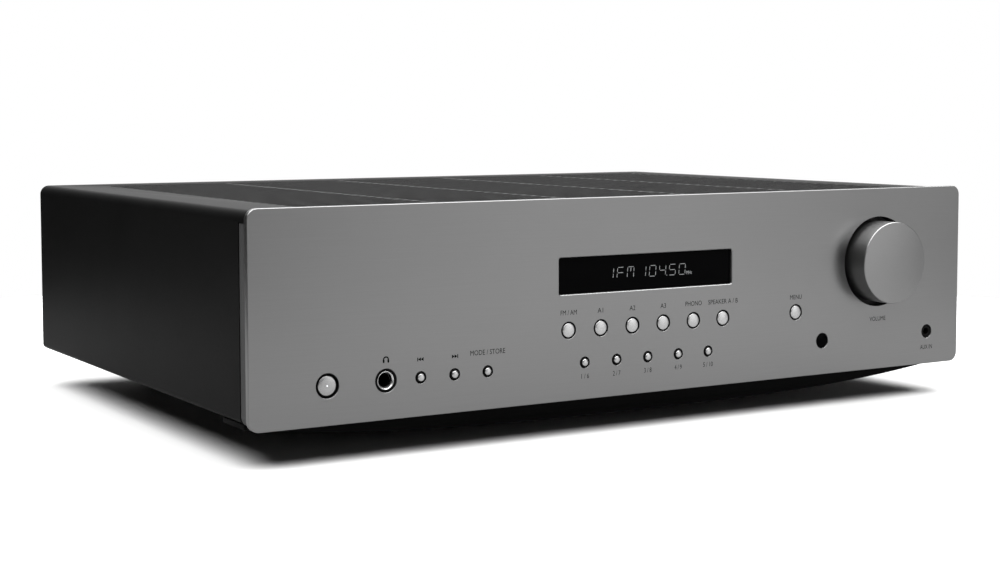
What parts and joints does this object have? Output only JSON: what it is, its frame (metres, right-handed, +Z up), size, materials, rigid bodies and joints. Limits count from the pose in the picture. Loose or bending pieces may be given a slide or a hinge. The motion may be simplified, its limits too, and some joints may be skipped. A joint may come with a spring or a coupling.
{
  "type": "stereo receiver",
  "caption": "Stereo receiver with an aluminium front panel, display, push buttons, volume knob, vented steel case and rear terminals.",
  "frame": {"origin": "on the surface the receiver stands on, under the middle of its outer box", "axes": "+X to the right seen from the front, +Y from the front panel to the rear, +Z up"},
  "size_m": [0.43, 0.34, 0.1161],
  "materials": {
    "panel_aluminium": "satin anodised with a fine horizontal grain",
    "button_metal": "turned satin",
    "cover_black": "satin black powder coat",
    "frame_black": "fine moulded texture",
    "dark_window": "polished tinted acrylic",
    "socket_chrome": "polished plating",
    "foot_rubber": "matt",
    "zinc_steel": "zinc plated",
    "board_green": "solder mask",
    "copper_winding": "enamelled wire",
    "capacitor_sleeve": "shrink sleeve",
    "heatsink_black": "black anodised extrusion",
    "terminal_red": "moulded gloss",
    "terminal_black": "moulded gloss"
  },
  "bodies": {
    "chassis": {"front_panel": "panel_aluminium", "front_frame": "frame_black", "display_window": "dark_window", "sensor_window": "dark_window", "headphone_jack": "socket_chrome", "aux_jack": "frame_black", "volume_encoder": "zinc_steel", "top_cover": "cover_black", "base_tray": "zinc_steel", "rear_panel": "cover_black", "front_plinth": "frame_black", "foot_front_left": "foot_rubber", "foot_front_right": "foot_rubber", "foot_rear_left": "foot_rubber", "foot_rear_right": "foot_rubber", "input_jack_block": "frame_black", "speaker_terminal_block": "frame_black", "mains_inlet": "frame_black", "rocker_housing": "frame_black", "antenna_terminal": "frame_black", "ground_stud": "zinc_steel", "power_transformer": "copper_winding", "heatsink": "heatsink_black", "amplifier_board": "board_green", "filter_capacitor_front": "capacitor_sleeve", "filter_capacitor_rear": "capacitor_sleeve", "tuner_module": "zinc_steel", "control_board": "board_green", "display_tube": "dark_window", "input_board": "board_green"},
    "volume": {"volume_knob": "panel_aluminium", "encoder_shaft": "zinc_steel"},
    "power": {"power_button": "button_metal"},
    "previous": {"previous_button": "button_metal"},
    "next": {"next_button": "button_metal"},
    "mode": {"mode_button": "button_metal"},
    "tuner": {"tuner_button": "button_metal"},
    "input_1": {"input_1_button": "button_metal"},
    "input_2": {"input_2_button": "button_metal"},
    "input_3": {"input_3_button": "button_metal"},
    "phono": {"phono_button": "button_metal"},
    "speaker": {"speaker_button": "button_metal"},
    "preset_1": {"preset_1_button": "button_metal"},
    "preset_2": {"preset_2_button": "button_metal"},
    "preset_3": {"preset_3_button": "button_metal"},
    "preset_4": {"preset_4_button": "button_metal"},
    "preset_5": {"preset_5_button": "button_metal"},
    "menu": {"menu_button": "button_metal"},
    "cap_a_1": {"speaker_a_cap_1": "terminal_red"},
    "cap_a_2": {"speaker_a_cap_2": "terminal_black"},
    "cap_a_3": {"speaker_a_cap_3": "terminal_red"},
    "cap_a_4": {"speaker_a_cap_4": "terminal_black"},
    "cap_b_1": {"speaker_b_cap_1": "terminal_red"},
    "cap_b_2": {"speaker_b_cap_2": "terminal_black"},
    "cap_b_3": {"speaker_b_cap_3": "terminal_red"},
    "cap_b_4": {"speaker_b_cap_4": "terminal_black"},
    "rocker": {"mains_rocker": "terminal_black"},
    "lever_1": {"antenna_lever_1": "terminal_red"},
    "lever_2": {"antenna_lever_2": "terminal_black"},
    "earth_nut": {"ground_nut": "zinc_steel"}
  },
  "joints": [
    {"name": "volume_turn", "type": "hinge", "parent": "chassis", "child": "volume", "pos_m": [0.1547, -0.1575, 0.0763], "axis": [0, 1, 0], "continuous": true},
    {"name": "power_press", "type": "slide", "parent": "chassis", "child": "power", "axis": [0, 1, 0], "range_m": [0, 0.0012], "stiffness_N_per_m": 800},
    {"name": "previous_press", "type": "slide", "parent": "chassis", "child": "previous", "axis": [0, 1, 0], "range_m": [0, 0.0012], "stiffness_N_per_m": 800},
    {"name": "next_press", "type": "slide", "parent": "chassis", "child": "next", "axis": [0, 1, 0], "range_m": [0, 0.0012], "stiffness_N_per_m": 800},
    {"name": "mode_press", "type": "slide", "parent": "chassis", "child": "mode", "axis": [0, 1, 0], "range_m": [0, 0.0012], "stiffness_N_per_m": 800},
    {"name": "tuner_press", "type": "slide", "parent": "chassis", "child": "tuner", "axis": [0, 1, 0], "range_m": [0, 0.0012], "stiffness_N_per_m": 800},
    {"name": "input_1_press", "type": "slide", "parent": "chassis", "child": "input_1", "axis": [0, 1, 0], "range_m": [0, 0.0012], "stiffness_N_per_m": 800},
    {"name": "input_2_press", "type": "slide", "parent": "chassis", "child": "input_2", "axis": [0, 1, 0], "range_m": [0, 0.0012], "stiffness_N_per_m": 800},
    {"name": "input_3_press", "type": "slide", "parent": "chassis", "child": "input_3", "axis": [0, 1, 0], "range_m": [0, 0.0012], "stiffness_N_per_m": 800},
    {"name": "phono_press", "type": "slide", "parent": "chassis", "child": "phono", "axis": [0, 1, 0], "range_m": [0, 0.0012], "stiffness_N_per_m": 800},
    {"name": "speaker_press", "type": "slide", "parent": "chassis", "child": "speaker", "axis": [0, 1, 0], "range_m": [0, 0.0012], "stiffness_N_per_m": 800},
    {"name": "preset_1_press", "type": "slide", "parent": "chassis", "child": "preset_1", "axis": [0, 1, 0], "range_m": [0, 0.0012], "stiffness_N_per_m": 800},
    {"name": "preset_2_press", "type": "slide", "parent": "chassis", "child": "preset_2", "axis": [0, 1, 0], "range_m": [0, 0.0012], "stiffness_N_per_m": 800},
    {"name": "preset_3_press", "type": "slide", "parent": "chassis", "child": "preset_3", "axis": [0, 1, 0], "range_m": [0, 0.0012], "stiffness_N_per_m": 800},
    {"name": "preset_4_press", "type": "slide", "parent": "chassis", "child": "preset_4", "axis": [0, 1, 0], "range_m": [0, 0.0012], "stiffness_N_per_m": 800},
    {"name": "preset_5_press", "type": "slide", "parent": "chassis", "child": "preset_5", "axis": [0, 1, 0], "range_m": [0, 0.0012], "stiffness_N_per_m": 800},
    {"name": "menu_press", "type": "slide", "parent": "chassis", "child": "menu", "axis": [0, 1, 0], "range_m": [0, 0.0012], "stiffness_N_per_m": 800},
    {"name": "cap_a_1_turn", "type": "hinge", "parent": "chassis", "child": "cap_a_1", "pos_m": [0.014, 0.16, 0.086], "axis": [0, 1, 0], "range_deg": [0, 1080]},
    {"name": "cap_a_2_turn", "type": "hinge", "parent": "chassis", "child": "cap_a_2", "pos_m": [-0.005, 0.16, 0.086], "axis": [0, 1, 0], "range_deg": [0, 1080]},
    {"name": "cap_a_3_turn", "type": "hinge", "parent": "chassis", "child": "cap_a_3", "pos_m": [-0.038, 0.16, 0.086], "axis": [0, 1, 0], "range_deg": [0, 1080]},
    {"name": "cap_a_4_turn", "type": "hinge", "parent": "chassis", "child": "cap_a_4", "pos_m": [-0.057, 0.16, 0.086], "axis": [0, 1, 0], "range_deg": [0, 1080]},
    {"name": "cap_b_1_turn", "type": "hinge", "parent": "chassis", "child": "cap_b_1", "pos_m": [0.014, 0.16, 0.056], "axis": [0, 1, 0], "range_deg": [0, 1080]},
    {"name": "cap_b_2_turn", "type": "hinge", "parent": "chassis", "child": "cap_b_2", "pos_m": [-0.005, 0.16, 0.056], "axis": [0, 1, 0], "range_deg": [0, 1080]},
    {"name": "cap_b_3_turn", "type": "hinge", "parent": "chassis", "child": "cap_b_3", "pos_m": [-0.038, 0.16, 0.056], "axis": [0, 1, 0], "range_deg": [0, 1080]},
    {"name": "cap_b_4_turn", "type": "hinge", "parent": "chassis", "child": "cap_b_4", "pos_m": [-0.057, 0.16, 0.056], "axis": [0, 1, 0], "range_deg": [0, 1080]},
    {"name": "rocker_tip", "type": "hinge", "parent": "chassis", "child": "rocker", "pos_m": [-0.17, 0.141, 0.09], "axis": [1, 0, 0], "range_deg": [-14, 0]},
    {"name": "lever_1_press", "type": "hinge", "parent": "chassis", "child": "lever_1", "pos_m": [0.184, 0.1504, 0.075], "axis": [1, 0, 0], "range_deg": [-12, 0], "stiffness_Nm_per_rad": 0.05},
    {"name": "lever_2_press", "type": "hinge", "parent": "chassis", "child": "lever_2", "pos_m": [0.196, 0.1504, 0.075], "axis": [1, 0, 0], "range_deg": [-12, 0], "stiffness_Nm_per_rad": 0.05},
    {"name": "earth_nut_turn", "type": "hinge", "parent": "chassis", "child": "earth_nut", "pos_m": [0.16, 0.149, 0.045], "axis": [0, 1, 0], "range_deg": [0, 1080]}
  ]
}
